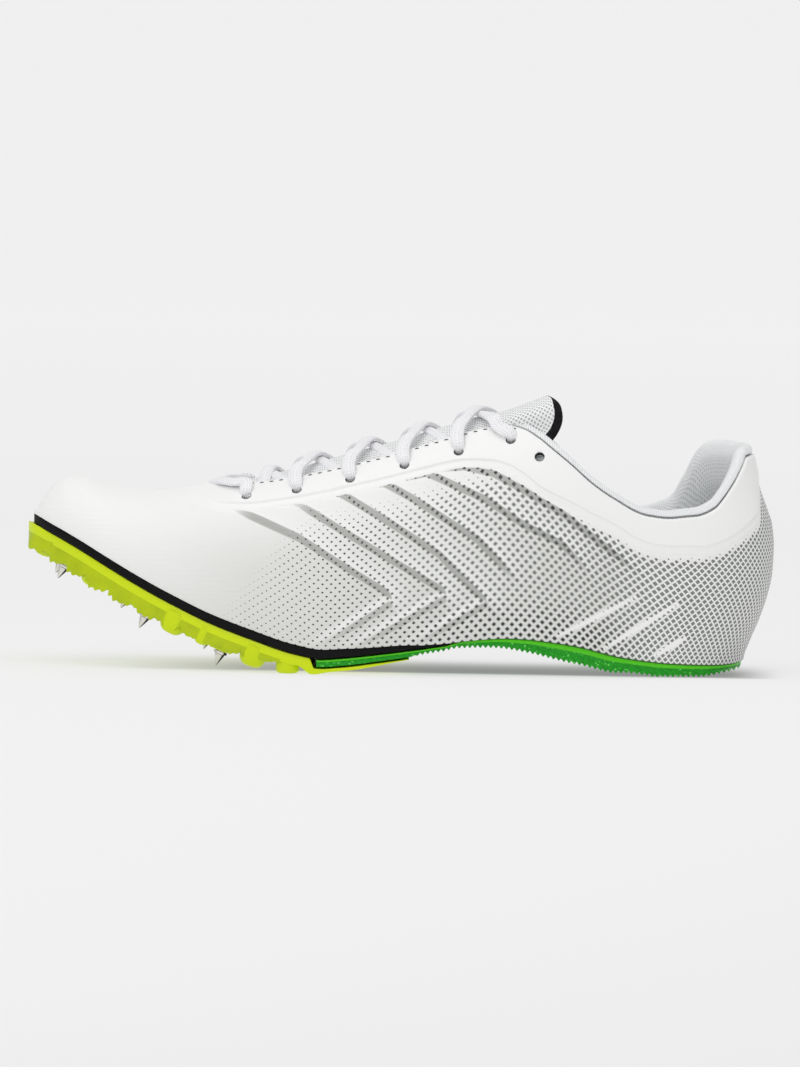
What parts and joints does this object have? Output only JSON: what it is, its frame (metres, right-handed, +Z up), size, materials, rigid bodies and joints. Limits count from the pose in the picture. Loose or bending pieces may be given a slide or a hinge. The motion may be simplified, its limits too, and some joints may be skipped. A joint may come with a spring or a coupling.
{
  "type": "track spike shoe",
  "caption": "Low-cut sprint spike for the left foot: hollow white upper, lime plate with lugs and steel pins, green ribbed heel rubber, laced throat.",
  "frame": {"origin": "on the floor under the middle of the shoe's length and width", "axes": "+X from toe to heel, -Y to the outer side of the foot, +Z up"},
  "size_m": [0.2879, 0.0917, 0.1078],
  "materials": {
    "upper": "coated white textile, satin, with a printed dot pattern",
    "lining": "pale knitted padding",
    "mesh": "white spacer mesh",
    "tape": "black woven tape",
    "lace": "white woven flat lace",
    "foam": "black moulded foam, satin",
    "plate": "lime moulded plastic, glossy",
    "rubber": "green moulded rubber, satin",
    "steel": "bright turned steel",
    "insole": "grey brushed textile over foam"
  },
  "bodies": {
    "root": {"upper": "upper", "collar_lining": "lining", "tongue": "mesh", "tongue_binding": "tape", "insole": "insole", "midsole": "foam", "spike_plate": "plate", "heel_outsole": "rubber", "pin_1": "steel", "pin_2": "steel", "pin_3": "steel", "pin_4": "steel", "pin_5": "steel", "pin_6": "steel", "lace_bar": "lace", "lace_crossing_1": "lace", "lace_crossing_2": "lace", "lace_crossing_3": "lace", "lace_crossing_4": "lace", "lace_crossing_5": "lace"}
  },
  "joints": []
}
